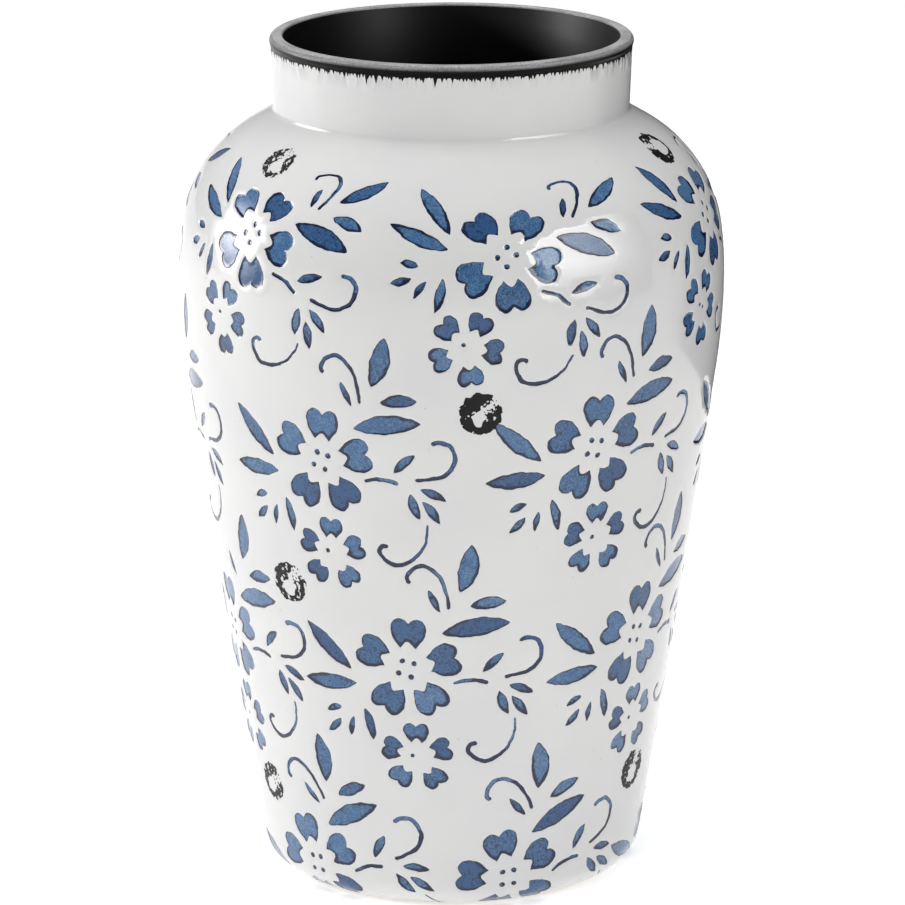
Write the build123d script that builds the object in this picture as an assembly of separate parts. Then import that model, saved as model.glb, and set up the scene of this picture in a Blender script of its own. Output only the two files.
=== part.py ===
from build123d import *

import os
from math import asin, cos, degrees, radians, sin, sqrt, tan

# A glazed stoneware jar vase: tall tapering body, round shoulder, short upright neck, rolled lip.
#
# The clay is three sections luted together with half-lap joints: floor, body wall and neck collar. Three
# glaze coats lie on it: white outside, black over the lip and black inside. The foot ring is bare clay.
# Everything is a body of revolution about Z. The origin is the middle of the foot's resting plane.
# Each outline is drawn once as a function of its depth below the glazed surface, so that clay and glaze
# share the same curves. Angles are in degrees, from the outward horizontal.

# Driving dimensions, in millimetres.
HEIGHT = 300.0
GLAZE = 0.5  # thickness of each glaze coat
WALL = 5.0  # body wall, both coats included
FLOOR_TOP = 8.5  # glazed floor above the resting plane

BELLY_R = 96.0  # widest point of the body
BELLY_Z = 216.5
UPPER_RADIUS = 240.0  # meridian arc just below the widest point
UPPER_SWEEP = 7.46
TAPER_RADIUS = 5000.0  # meridian arc of the long, nearly straight taper
CROWN_RADIUS = 120.0  # meridian arc just above the widest point
CROWN_SWEEP = 8.0
SHOULDER_RADIUS = 48.5
SHOULDER_END = 60.0  # where the shoulder turns into a straight cone up to the neck

NECK_ROOT_R = 62.2
NECK_TOP_R = 63.0
NECK_ROOT_FILLET = 2.2
BORE_R = 58.8
BORE_EDGE_ROUND = 4.0  # inside edge between shoulder and neck

LIP_ROUND = 2.0  # outer roll of the lip
LIP_FLAT_R = 61.5  # where the lip's flat top turns into its outer roll
LIP_INNER_ROUND = 0.8
LIP_TUCK_ANGLE = -32.0  # the outer roll ends here, under the lip

FOOT_CORNER = 12.5
FOOT_CORNER_Z = 0.3  # lowest point of the corner, if its glaze went all the way under
FOOT_OUTER_R = 54.6
FOOT_INNER_R = 48.0
FOOT_DRAFT = 0.4
RECESS_Z = 2.5  # underside of the floor, inside the foot ring
FLOOR_CORNER = 12.0

WHITE_START_ANGLE = -72.0  # the white coat starts here on the foot corner, clear of the foot

FLOOR_JOINT_Z = 14.0  # half-lap between floor and wall: outer half
FLOOR_JOINT_STEP = 3.0  # the inner half is this much higher
LAP_DEPTH = 2.6  # the lap's riser, measured from the glazed surface
COLLAR_JOINT = 5.5  # half-lap between wall and collar, along the cone from the shoulder arc's end
COLLAR_JOINT_STEP = 2.6

FAR = 400.0  # beyond everything, for cutting regions


def polar(centre, radius, angle):
    """The point at an angle on a circle."""
    a = radians(angle)
    return centre[0] + radius * cos(a), centre[1] + radius * sin(a)


# Arc centres of the outside meridian. Each arc is tangent to the next.
UPPER_C = (BELLY_R - UPPER_RADIUS, BELLY_Z)
TAPER_C = polar(UPPER_C, UPPER_RADIUS - TAPER_RADIUS, -UPPER_SWEEP)
CROWN_C = (BELLY_R - CROWN_RADIUS, BELLY_Z)
SHOULDER_C = polar(CROWN_C, CROWN_RADIUS - SHOULDER_RADIUS, CROWN_SWEEP)
CONE_START = polar(SHOULDER_C, SHOULDER_RADIUS, SHOULDER_END)
CONE_ANGLE = SHOULDER_END + 90.0
LIP_C = (LIP_FLAT_R, HEIGHT - LIP_ROUND)


def on_cone(along, depth):
    """A point of the cone above the shoulder, along its slope and below its surface."""
    return polar(polar(CONE_START, along, CONE_ANGLE), -depth, SHOULDER_END)


def corner_on_taper(radius, lowest, depth):
    """(centre, angle) of an arc tangent to the taper at that depth whose lowest point is at lowest."""
    z = lowest + radius
    reach = TAPER_RADIUS - depth - radius
    r = TAPER_C[0] + sqrt(reach**2 - (z - TAPER_C[1]) ** 2)
    return (r, z), degrees(asin((z - TAPER_C[1]) / reach))


def arc(centre, radius, start, end):
    """An edge along a circle from angle to angle."""
    middle = (start + end) / 2
    return ThreePointArc(*(polar(centre, radius, a) for a in (start, middle, end)))


def cone_at(r, depth):
    """Height of the cone's surface at a radius and depth."""
    start = on_cone(0, depth)
    return start[1] + (r - start[0]) * tan(radians(CONE_ANGLE))


def body_arcs(depth, taper_start):
    """The meridian's arcs from the taper up to the start of the cone, at a depth."""
    return [
        arc(TAPER_C, TAPER_RADIUS - depth, taper_start, -UPPER_SWEEP),
        arc(UPPER_C, UPPER_RADIUS - depth, -UPPER_SWEEP, 0),
        arc(CROWN_C, CROWN_RADIUS - depth, 0, CROWN_SWEEP),
        arc(SHOULDER_C, SHOULDER_RADIUS - depth, CROWN_SWEEP, SHOULDER_END),
    ]


def cone_and_fillet(depth, upright_r, fillet):
    """The cone above the shoulder, then the arc that turns it upright at a radius."""
    centre_r = upright_r + fillet
    centre = (centre_r, cone_at(centre_r, depth) + fillet / sin(radians(SHOULDER_END)))
    turn = SHOULDER_END + 180
    return [Line(on_cone(0, depth), polar(centre, fillet, turn)), arc(centre, fillet, turn, 180)]


def outside(depth, corner_start):
    """Edges from the foot corner, at an angle on it, up to the underside of the lip."""
    radius = FOOT_CORNER - depth
    centre, taper_start = corner_on_taper(radius, FOOT_CORNER_Z + depth, depth)
    rise = cone_and_fillet(depth, NECK_ROOT_R - depth, NECK_ROOT_FILLET + depth)
    tuck = polar(LIP_C, LIP_ROUND - depth, LIP_TUCK_ANGLE)
    neck_top = (NECK_TOP_R - depth, tuck[1] - (tuck[0] - NECK_TOP_R + depth))
    return [
        arc(centre, radius, corner_start, taper_start),
        *body_arcs(depth, taper_start),
        *rise,
        Line(rise[-1] @ 1, neck_top),
        Line(neck_top, tuck),
    ]


def lip(depth):
    """Edges over the lip, from its tucked underside to the top of the bore."""
    inner_c = (BORE_R + LIP_INNER_ROUND, HEIGHT - LIP_INNER_ROUND)
    roll = arc(LIP_C, LIP_ROUND - depth, LIP_TUCK_ANGLE, 90)
    inner_roll = arc(inner_c, LIP_INNER_ROUND - depth, 90, 180)
    return [roll, Line(roll @ 1, inner_roll @ 0), inner_roll]


def inside(depth):
    """Edges from the floor's middle, up the wall and over the inner shoulder, to the top of the bore."""
    below = WALL - depth
    centre, taper_start = corner_on_taper(FLOOR_CORNER + depth, FLOOR_TOP - depth, below)
    corner = arc(centre, FLOOR_CORNER + depth, -90, taper_start)
    rise = cone_and_fillet(below, BORE_R + depth, BORE_EDGE_ROUND - depth)
    return [
        Line((0, FLOOR_TOP - depth), corner @ 0),
        corner,
        *body_arcs(below, taper_start),
        *rise,
        Line(rise[-1] @ 1, (BORE_R + depth, HEIGHT - LIP_INNER_ROUND)),
    ]


def foot(corner_start):
    """Edges of the bare foot: recess, resting ring and the step out to the corner."""
    ledge_z = FOOT_CORNER_Z + GLAZE
    points = [
        (0, RECESS_Z),
        (FOOT_INNER_R - FOOT_DRAFT, RECESS_Z),
        (FOOT_INNER_R, 0),
        (FOOT_OUTER_R, 0),
        (FOOT_OUTER_R + FOOT_DRAFT, ledge_z),
        corner_start,
    ]
    return [Line(a, b) for a, b in zip(points, points[1:])]


def clay():
    """The half section of all the clay, under its glaze."""
    outer = outside(GLAZE, -90)
    axis = Line((0, FLOOR_TOP - GLAZE), (0, RECESS_Z))
    return make_face([*foot(outer[0] @ 0), *outer, *lip(GLAZE), *inside(GLAZE), axis])


def coat(surface, backing):
    """The half section of a coat between its glazed surface and the clay that backs it."""
    ends = [Line(surface[0] @ 0, backing[0] @ 0), Line(surface[-1] @ 1, backing[-1] @ 1)]
    return make_face([*surface, *backing, *ends])


def region(*points):
    """A filled polygon that cuts a section."""
    return make_face(Polyline(*points, close=True))


def floor_zone():
    """Everything under the half-lap between floor and wall."""
    lap_angle = degrees(asin((FLOOR_JOINT_Z - TAPER_C[1]) / (TAPER_RADIUS - LAP_DEPTH)))
    lap_r = polar(TAPER_C, TAPER_RADIUS - LAP_DEPTH, lap_angle)[0]
    low_z = FLOOR_JOINT_Z
    top_z = low_z + FLOOR_JOINT_STEP
    return region((0, -1), (FAR, -1), (FAR, low_z), (lap_r, low_z), (lap_r, top_z), (0, top_z))


def collar_zone():
    """Everything past the half-lap between wall and collar, up the cone and over the neck."""
    step = COLLAR_JOINT + COLLAR_JOINT_STEP
    return region(
        on_cone(COLLAR_JOINT, -WALL),
        on_cone(COLLAR_JOINT, LAP_DEPTH),
        on_cone(step, LAP_DEPTH),
        on_cone(step, 2 * WALL),
        (0, HEIGHT / 2),
        (0, FAR),
        (FAR, FAR),
        (FAR, HEIGHT),
    )


def half_sections():
    """Each piece's half section, by node name."""
    return {
        "floor_and_foot": clay() & floor_zone(),
        "body_wall": clay() - floor_zone() - collar_zone(),
        "neck_collar": clay() & collar_zone(),
        "white_outer_glaze": coat(outside(0, WHITE_START_ANGLE), outside(GLAZE, WHITE_START_ANGLE)),
        "black_lip_glaze": coat(lip(0), lip(GLAZE)),
        "black_inner_glaze": coat(inside(0), inside(GLAZE)),
    }


def turned(half_section):
    """A half section, drawn in X and Y, stood up and turned about Z into a solid."""
    return revolve(Rot(90, 0, 0) * half_section, axis=Axis.Z)


os.makedirs("parts", exist_ok=True)
for name, half_section in half_sections().items():
    export_step(turned(half_section), f"parts/{name}.step")
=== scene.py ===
from functools import partial
from math import asin, atan2, ceil, cos, degrees, hypot, pi, radians, sin, sqrt, tan, tau

import bpy
import numpy as np
from mathutils.geometry import delaunay_2d_cdt
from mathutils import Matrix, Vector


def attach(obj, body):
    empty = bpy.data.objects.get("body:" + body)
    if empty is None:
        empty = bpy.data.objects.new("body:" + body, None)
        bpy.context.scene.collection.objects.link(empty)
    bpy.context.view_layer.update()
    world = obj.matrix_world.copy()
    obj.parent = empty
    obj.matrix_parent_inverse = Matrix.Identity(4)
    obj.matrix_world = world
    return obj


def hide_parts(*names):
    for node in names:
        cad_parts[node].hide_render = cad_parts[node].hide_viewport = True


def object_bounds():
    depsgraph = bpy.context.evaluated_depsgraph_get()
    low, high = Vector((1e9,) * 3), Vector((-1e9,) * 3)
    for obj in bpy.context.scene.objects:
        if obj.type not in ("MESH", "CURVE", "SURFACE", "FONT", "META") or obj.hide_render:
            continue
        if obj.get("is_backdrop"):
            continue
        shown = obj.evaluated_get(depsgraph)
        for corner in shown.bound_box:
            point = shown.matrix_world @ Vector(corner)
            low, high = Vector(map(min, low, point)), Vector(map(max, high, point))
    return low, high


# A glazed jar vase with recessed blue flower motifs, worn black stamps, and a black lip and lining.
#
# Shapes are worked out in millimetres and made in metres. A place on the outside wall is given by its
# angle in degrees (0 faces the camera, which stands at -Y, and 90 is +X) and its distance s up the
# wall, along the meridian, from the lower edge of the white glaze.

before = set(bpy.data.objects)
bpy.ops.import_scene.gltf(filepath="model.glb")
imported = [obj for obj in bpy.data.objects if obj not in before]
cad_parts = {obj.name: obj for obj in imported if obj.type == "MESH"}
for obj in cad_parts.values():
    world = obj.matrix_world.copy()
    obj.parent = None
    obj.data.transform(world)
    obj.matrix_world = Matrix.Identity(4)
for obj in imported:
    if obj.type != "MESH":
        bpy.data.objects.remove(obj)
cad_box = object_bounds()

MM = 0.001
BODY = "root"
TINY = 1e-6

# Driving dimensions, the same as the CAD model's where it has them.
HEIGHT = round(cad_box[1].z / MM, 1)
BELLY_R = round(cad_box[1].x / MM, 1)
BELLY_Z = 216.5
UPPER_RADIUS = 240.0
UPPER_SWEEP = 7.46
TAPER_RADIUS = 5000.0
CROWN_RADIUS = 120.0
CROWN_SWEEP = 8.0
SHOULDER_RADIUS = 48.5
SHOULDER_END = 60.0
NECK_ROOT_R = 62.2
NECK_TOP_R = 63.0
NECK_ROOT_FILLET = 2.2
BORE_R = 58.8
BORE_EDGE_ROUND = 4.0
LIP_ROUND = 2.0
LIP_FLAT_R = 61.5
LIP_INNER_ROUND = 0.8
LIP_TUCK_ANGLE = -32.0
FOOT_CORNER = 12.5
FOOT_CORNER_Z = 0.3
WHITE_START_ANGLE = -72.0
WALL = 5.0
GLAZE = 0.5
FLOOR_TOP = 8.5
FLOOR_CORNER = 12.0

# How the wall is meshed and how uneven a thrown and dipped wall is.
GRID = 3.2  # spacing of the plain wall's points
GRID_CLEARANCE = 0.7  # grid points keep this far from a motif's edge
AROUND = 252  # points round the lip and foot
UNEVENNESS = 0.025  # height of each of the wall's slow waves
RECESS = 0.34  # depth of the blue motifs
BRINK = 0.38  # a recess's edge starts to fall this far outside the motif's outline
BANK = 0.5  # and reaches the recess's floor this far inside it

rng = np.random.default_rng(41)


# ---- Meridians ----


def polar(centre, radius, angle):
    """The point at an angle, in degrees, on a circle."""
    return centre[0] + radius * cos(radians(angle)), centre[1] + radius * sin(radians(angle))


UPPER_C = (BELLY_R - UPPER_RADIUS, BELLY_Z)
TAPER_C = polar(UPPER_C, UPPER_RADIUS - TAPER_RADIUS, -UPPER_SWEEP)
CROWN_C = (BELLY_R - CROWN_RADIUS, BELLY_Z)
SHOULDER_C = polar(CROWN_C, CROWN_RADIUS - SHOULDER_RADIUS, CROWN_SWEEP)
LIP_C = (LIP_FLAT_R, HEIGHT - LIP_ROUND)
LIP_INNER_C = (BORE_R + LIP_INNER_ROUND, HEIGHT - LIP_INNER_ROUND)


class Meridian:
    """A smooth outline of revolution: radius, height and the normal's angle at each distance along it."""

    def __init__(self, *stretches):
        self.r, self.z, self.angle = (np.concatenate(column) for column in zip(*stretches))
        steps = np.hypot(np.diff(self.r), np.diff(self.z))
        self.s = np.concatenate([[0], np.cumsum(steps)])
        turns = steps / np.maximum((self.r[1:] + self.r[:-1]) / 2, 1)
        self.growth = np.concatenate([[0], np.cumsum(turns)])
        self.length = self.s[-1]

    def at(self, s):
        return tuple(np.interp(s, self.s, column) for column in (self.r, self.z, self.angle))

    def radius(self, s):
        return np.interp(s, self.s, self.r)

    def flat(self, theta, s):
        """A conformal map of the wall to a plane ring, so that a mesh made in the ring has no seam."""
        out = np.exp(np.interp(s, self.s, self.growth))
        return np.stack([out * np.sin(theta), out * np.cos(theta)], axis=-1)

    def unflat(self, points):
        """(theta, s) of points of the plane ring."""
        out = np.log(np.hypot(points[:, 0], points[:, 1]))
        return np.arctan2(points[:, 0], points[:, 1]), np.interp(out, self.growth, self.s)


def arc_stretch(centre, radius, start, end, hollow=False, step=0.2):
    """A stretch along a circle. A hollow one has its normal towards the centre."""
    count = max(3, ceil(abs(radians(end - start)) * radius / step))
    angles = np.linspace(start, end, count)
    a = np.radians(angles)
    normal = angles - 180 if hollow else angles
    return centre[0] + radius * np.cos(a), centre[1] + radius * np.sin(a), normal


def line_stretch(start, end, normal, step=0.2):
    """A straight stretch with one normal angle."""
    count = max(2, ceil(hypot(end[0] - start[0], end[1] - start[1]) / step))
    return (
        np.linspace(start[0], end[0], count),
        np.linspace(start[1], end[1], count),
        np.full(count, float(normal)),
    )


def corner_on_taper(radius, lowest, depth):
    """(centre, angle) of an arc tangent to the taper at that depth whose lowest point is at lowest."""
    z = lowest + radius
    reach = TAPER_RADIUS - depth - radius
    r = TAPER_C[0] + sqrt(reach**2 - (z - TAPER_C[1]) ** 2)
    return (r, z), degrees(asin((z - TAPER_C[1]) / reach))


def body_stretches(depth, taper_start):
    """From the taper up to the cone above the shoulder, at a depth below the outside surface."""
    return [
        arc_stretch(TAPER_C, TAPER_RADIUS - depth, taper_start, -UPPER_SWEEP),
        arc_stretch(UPPER_C, UPPER_RADIUS - depth, -UPPER_SWEEP, 0),
        arc_stretch(CROWN_C, CROWN_RADIUS - depth, 0, CROWN_SWEEP),
        arc_stretch(SHOULDER_C, SHOULDER_RADIUS - depth, CROWN_SWEEP, SHOULDER_END),
    ]


def rise_stretches(depth, upright_r, fillet, top_z):
    """The cone above the shoulder, the hollow that turns it upright, and the upright up to top_z."""
    start = polar(SHOULDER_C, SHOULDER_RADIUS - depth, SHOULDER_END)
    centre_r = upright_r + fillet
    cone_z = start[1] + (start[0] - centre_r) * tan(radians(90 - SHOULDER_END))
    centre = (centre_r, cone_z + fillet / sin(radians(SHOULDER_END)))
    turn = SHOULDER_END + 180
    return [
        line_stretch(start, polar(centre, fillet, turn), SHOULDER_END),
        arc_stretch(centre, fillet, turn, 180, hollow=True, step=0.1),
        line_stretch((upright_r, centre[1]), (upright_r, top_z), 0),
    ]


def outside_meridian():
    """The white glaze's surface, from under the foot corner up to the underside of the lip."""
    centre, taper_start = corner_on_taper(FOOT_CORNER, FOOT_CORNER_Z, 0)
    tuck = polar(LIP_C, LIP_ROUND, LIP_TUCK_ANGLE)
    neck_top_z = tuck[1] - (tuck[0] - NECK_TOP_R)
    rise = rise_stretches(0, NECK_ROOT_R, NECK_ROOT_FILLET, neck_top_z)
    root_z = rise[1][1][-1]
    rise[-1] = line_stretch((NECK_ROOT_R, root_z), (NECK_TOP_R, neck_top_z), -2)
    return Meridian(
        arc_stretch(centre, FOOT_CORNER, WHITE_START_ANGLE, taper_start),
        *body_stretches(0, taper_start),
        *rise,
        line_stretch((NECK_TOP_R, neck_top_z), tuck, -45),
    )


def lip_meridian():
    """Over the lip, from its tucked underside to the top of the bore."""
    return Meridian(
        arc_stretch(LIP_C, LIP_ROUND, LIP_TUCK_ANGLE, 90),
        line_stretch((LIP_FLAT_R, HEIGHT), (LIP_INNER_C[0], HEIGHT), 90),
        arc_stretch(LIP_INNER_C, LIP_INNER_ROUND, 90, 180),
    )


def inside_meridian():
    """The black lining's surface, from the middle of the floor up to the top of the bore.

    Its normals are given as those of the same curve seen from outside the clay, and turned round when
    the piece is made."""
    centre, taper_start = corner_on_taper(FLOOR_CORNER, FLOOR_TOP, WALL)
    return Meridian(
        line_stretch((0, FLOOR_TOP), (centre[0], FLOOR_TOP), -90),
        arc_stretch(centre, FLOOR_CORNER, -90, taper_start),
        *body_stretches(WALL, taper_start),
        *rise_stretches(WALL, BORE_R, BORE_EDGE_ROUND, HEIGHT - LIP_INNER_ROUND),
    )


OUTSIDE = outside_meridian()
LIP = lip_meridian()
INSIDE = inside_meridian()

SHOULDER_TOP_S = OUTSIDE.s[np.argmax(OUTSIDE.angle)]
NECK_ROOT_S = OUTSIDE.s[np.flatnonzero(OUTSIDE.angle > 0)[-1]]
TUCK_S = OUTSIDE.length
NECK_TOP_S = TUCK_S - sqrt(2) * (OUTSIDE.r[-1] - NECK_TOP_R)


def stood(meridian, theta, s, depth=0.0, lean=(0.0, 0.0)):
    """Positions and normals of places on a meridian's surface of revolution, in millimetres.

    lean tilts the normals: its first number to the right, its second up the meridian."""
    r, z, angle = meridian.at(s)
    angle = np.radians(angle)
    side, front = np.sin(theta), -np.cos(theta)
    flat_part, rise_part = np.cos(angle), np.sin(angle)
    out = np.stack([flat_part * side, flat_part * front, rise_part], axis=-1)
    east = np.stack([np.cos(theta), np.sin(theta), np.zeros_like(side)], axis=-1)
    up = np.stack([-rise_part * side, -rise_part * front, flat_part], axis=-1)
    place = np.stack([r * side, r * front, z], axis=-1) - out * np.asarray(depth)[..., None]
    normal = out + east * np.asarray(lean[0])[..., None] + up * np.asarray(lean[1])[..., None]
    return place, normal / np.linalg.norm(normal, axis=-1, keepdims=True)


def smooth(low, high, value):
    """0 below low, 1 above high and an S curve between."""
    t = np.clip((value - low) / (high - low), 0, 1)
    return t * t * (3 - 2 * t)


# (waves round the wall, length of a wave up it in mm, phase) of the wall's slow unevenness
WALL_WAVES = ((2, 190, 0.4), (3, 120, 2.1), (5, 85, 4.0), (8, 60, 1.2))


def wall_unevenness(theta, s):
    """(depth, lean right, lean up) of the wall's slow waves, which die out at the foot and the neck."""
    held = smooth(0, 14, s) * (1 - smooth(SHOULDER_TOP_S - 20, SHOULDER_TOP_S, s))
    depth = np.zeros_like(s, dtype=float)
    right, up = np.zeros_like(depth), np.zeros_like(depth)
    for around, length, phase in WALL_WAVES:
        size = UNEVENNESS / sqrt(around)
        wave = around * theta + tau * s / length + phase
        depth += size * (1 + np.cos(wave))
        slope = -size * np.sin(wave)
        right += slope * around / OUTSIDE.radius(s)
        up += slope * tau / length
    return depth * held, right * held, up * held


# ---------------------------------------------------------------------------------------------------
# Outlines of the motif's shapes, in its own plane: millimetres, x to the right and y up, from the
# middle of the big flower. Each takes grow, how far outside the shape the outline lies.
# ---------------------------------------------------------------------------------------------------

OUTLINE_STEP = 0.5


def spline(points):
    """Points along a Catmull-Rom curve through the given ones."""
    p = np.array(points, float)
    p = np.vstack([2 * p[0] - p[1], p, 2 * p[-1] - p[-2]])
    run = []
    for a, b, c, d in zip(p, p[1:], p[2:], p[3:]):
        count = max(2, ceil(np.linalg.norm(c - b) / OUTLINE_STEP))
        t = (np.arange(count) / count)[:, None]
        square, cube = a - 2.5 * b + 2 * c - d / 2, 1.5 * (b - c) + (d - a) / 2
        run.append(b + (c - a) * t / 2 + square * t**2 + cube * t**3)
    return np.vstack([*run, p[-2]])


def turned(points, angle):
    """Points turned counter-clockwise by an angle in degrees."""
    c, s = cos(radians(angle)), sin(radians(angle))
    return points @ np.array([[c, s], [-s, c]])


# One side of a heart-shaped petal that points along +x, about its own middle: from the inner point,
# round the lobe, to the dent in the outer edge. The inner end has a notch between the two points.
PETAL_SIDE = ((-5.8, 2.7), (-2.4, 5.2), (1.1, 6.3), (4.1, 5.4), (5.3, 3.4), (4.8, 1.4), (3.5, 0.0))
PETAL_NOTCH = (-3.4, 0.0)
PETAL_REACH = 5.2  # the middle's usual distance from the edge


def petal(middle, heading, scale, grow):
    """A heart-shaped petal that points away from its flower."""
    upper = spline(PETAL_SIDE)
    lower = upper[::-1][1:] * (1, -1)
    notch = spline([lower[-1], PETAL_NOTCH, upper[0]])[1:-1]
    outline = np.vstack([upper, lower, notch])[::-1]
    scaled = outline * np.array(scale) * (1 + grow / (PETAL_REACH * min(scale)))
    return turned(scaled, heading) + middle


def leaf(base, tip, width, bend, grow):
    """A leaf pointed at both ends, bent sideways by a distance, to the left if positive."""
    base, tip = np.array(base, float), np.array(tip, float)
    along = tip - base
    length = np.linalg.norm(along)
    along /= length
    left = np.array([-along[1], along[0]])
    reach = grow * (1.1 + 0.55 * length / width) / 1.6
    count = ceil(length / OUTLINE_STEP)
    t = np.linspace(0, 1, count + 1)[:, None]
    middle = base - along * reach + along * (length + 2 * reach) * t + left * bend * 4 * t * (1 - t)
    half = (width / 2 + grow) * np.sin(pi * t) ** 0.72
    return np.vstack([middle - left * half, (middle + left * half)[::-1][1:-1]])


def stroke(points, width, taper, grow):
    """A brush line along a curve, with round ends. taper is the share of its width left at the start."""
    line = spline(points)
    line = np.vstack([2 * line[0] - line[1], line, 2 * line[-1] - line[-2]])
    steps = np.linalg.norm(np.diff(line, axis=0), axis=1)
    run = np.concatenate([[0], np.cumsum(steps)]) - steps[0]
    length = run[-1] - steps[-1]
    at = np.linspace(-grow, length + grow, ceil(length / OUTLINE_STEP) + 1)
    middle = np.stack([np.interp(at, run, line[:, 0]), np.interp(at, run, line[:, 1])], axis=1)
    ahead = np.gradient(middle, axis=0)
    ahead /= np.linalg.norm(ahead, axis=1, keepdims=True)
    left = np.stack([-ahead[:, 1], ahead[:, 0]], axis=1)
    share = taper + (1 - taper) * smooth(0, 0.7 * length, at)
    full = width * share / 2
    end = np.clip(np.minimum(at + grow, length + grow - at) / full, 0, 1)
    half = ((full + grow) * np.sqrt(1 - (1 - end) ** 2))[:, None]
    return np.vstack([middle - left * half, (middle + left * half)[::-1][1:-1]])


def dot(middle, radius, grow):
    """A round dot."""
    turns = np.linspace(0, tau, 14, endpoint=False)
    return np.stack([np.cos(turns), np.sin(turns)], axis=1) * (radius + grow) + middle


def big_flower():
    """Five petals round four dots."""
    for heading in (85, 13, -57, -122, 154):
        middle = np.array(polar((0.2, 0.0), 13.5, heading))
        yield partial(petal, middle, heading, (1.0, 1.0)), BANK
    for middle in ((-1.3, 3.0), (2.7, 1.9), (-2.9, -1.8), (1.25, -3.1)):
        yield partial(dot, middle, 1.0), 0.35


def small_flower():
    """Five smaller petals round two tiny dots, below the big flower."""
    centre = np.array((1.3, -33.6))
    for middle in ((1.7, -24.5), (10.1, -31.0), (7.0, -42.0), (-4.7, -41.3), (-7.4, -30.8)):
        heading = degrees(atan2(middle[1] - centre[1], middle[0] - centre[0]))
        yield partial(petal, np.array(middle), heading, (0.66, 0.72)), 0.42
    for middle in ((-0.1, -33.3), (2.6, -33.3)):
        yield partial(dot, middle, 0.75), 0.25


# base, tip, width and sideways bend
LEAVES = (
    ((-20.3, -1.2), (-37.0, 14.9), 6.0, 0.3),
    ((-18.7, -6.6), (-39.7, -6.8), 6.0, 0.4),
    ((-25.3, -16.2), (-31.3, -18.3), 2.8, -0.3),
    ((-25.8, -21.0), (-31.3, -26.2), 3.0, 0.3),
    ((-20.9, -19.5), (-22.3, -27.0), 2.3, -0.2),
    ((-16.3, -16.0), (-13.75, -28.0), 3.5, 0.4),
    ((13.1, 21.2), (9.5, 29.8), 2.5, 0.2),
    ((20.5, 28.7), (25.6, 46.2), 7.0, -0.9),
    ((23.5, 23.0), (36.3, 24.25), 4.7, 0.5),
    ((13.25, 13.2), (37.0, 16.2), 7.0, 0.6),
    ((26.4, -2.0), (34.1, 4.7), 3.3, 0.3),
    ((31.6, -9.7), (34.1, -18.8), 3.7, -0.3),
    ((35.3, -7.7), (43.8, -11.8), 3.3, 0.3),
    ((35.75, -12.2), (41.0, -20.2), 3.5, 0.3),
)

TOP_CURL = (
    (16.2, 22.2), (15.5, 28.8), (13.7, 34.25), (10.3, 38.0),
    (7.4, 38.7), (4.1, 37.2), (2.4, 34.25), (3.25, 32.0),
)
STEM = ((15.75, -5.75), (21.6, -4.7), (28.0, -6.0))
RIGHT_CURL = ((33.7, -4.5), (42.0, -3.25), (46.2, -0.3), (47.8, 3.8), (46.6, 8.0), (43.25, 9.5), (39.9, 8.8))
LOWER_CURL = (
    (36.6, -20.5), (36.2, -25.3), (34.1, -30.3), (30.3, -34.1), (25.3, -36.2),
    (21.2, -34.5), (19.3, -31.6), (20.3, -29.5), (22.7, -29.1),
)

# points, width and the share of the width left at the start
LINES = ((TOP_CURL, 1.5, 0.8), (STEM, 1.5, 0.8), (RIGHT_CURL, 1.6, 0.8), (LOWER_CURL, 1.6, 0.5))


def motif():
    """Every shape of the motif, each with the width of its bank."""
    yield from big_flower()
    yield from small_flower()
    for base, tip, width, bend in LEAVES:
        yield partial(leaf, base, tip, width, bend), min(BANK, 0.15 * width)
    for points, width, taper in LINES:
        yield partial(stroke, points, width, taper), 0.2 * width


# On the transfer's second sheet the motifs sit this much higher, in mm, and are turned this much further, in
# degrees.
SECOND_SHEET = 4


def row(s, turn, first, second=()):
    """A row of motifs: each one's angle, distance up the wall, and turn, in degrees counter-clockwise."""
    on_first = [(angle, s, turn) for angle in first]
    return on_first + [(angle, s + SECOND_SHEET, turn + SECOND_SHEET) for angle in second]


TOP_ROW = row(248, -26, (-47, 72, 132, 192, 252)) + row(246, -27, (11.5,))
ROWS = (
    *row(172, 0, (-90, -29), (32, 93, 153, 212)),
    *row(97, 2, (-72, -11), (52, 111, 170, 229)),
    *row(15, 20, (-44, 17), (89, 140, 190, 240)),
)
# The top row's upper parts lie lower on the shoulder, by this times the square of their height in the motif.
TOP_ROW_DROOP = 0.006


def placed(points, angle, s, turn, droop):
    """(theta, s) of the motif's points, laid on the wall."""
    x, y = turned(points, turn).T
    y = y - droop * np.maximum(y, 0) ** 2
    height = s + y
    return radians(angle) + x / OUTSIDE.radius(np.clip(height, 0, TUCK_S)), height


# ---- The recessed shapes on the wall ----

# (length, height) of the waves that make the outlines look cut by hand
WAVER = ((2.1, 0.025), (3.3, 0.07), (6.5, 0.15))


def wavering():
    """A function that shifts points a little, the same way for points close together."""
    waves = [(tau / length, size, rng.uniform(0, tau, 4), rng.uniform(0.5, 1, 2)) for length, size in WAVER]

    def shift(points):
        moved = points.copy()
        for rate, size, phase, slant in waves:
            x, y = points[:, 0] * rate, points[:, 1] * rate
            moved[:, 0] += size * np.sin(y + slant[0] * x + phase[0]) * np.cos(x * 0.6 + phase[1])
            moved[:, 1] += size * np.sin(x - slant[1] * y + phase[2]) * np.cos(y * 0.6 + phase[3])
        return moved

    return shift


def inside_of(points, loop):
    """Which points lie inside a closed polygon."""
    x, y = points[:, 0, None], points[:, 1, None]
    x0, y0 = loop.T
    x1, y1 = np.roll(loop, -1, axis=0).T
    rise = np.where(y1 == y0, 1e-12, y1 - y0)
    crossed = ((y0 > y) != (y1 > y)) & (x < x0 + (y - y0) * (x1 - x0) / rise)
    return crossed.sum(axis=1) % 2 == 1


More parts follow.
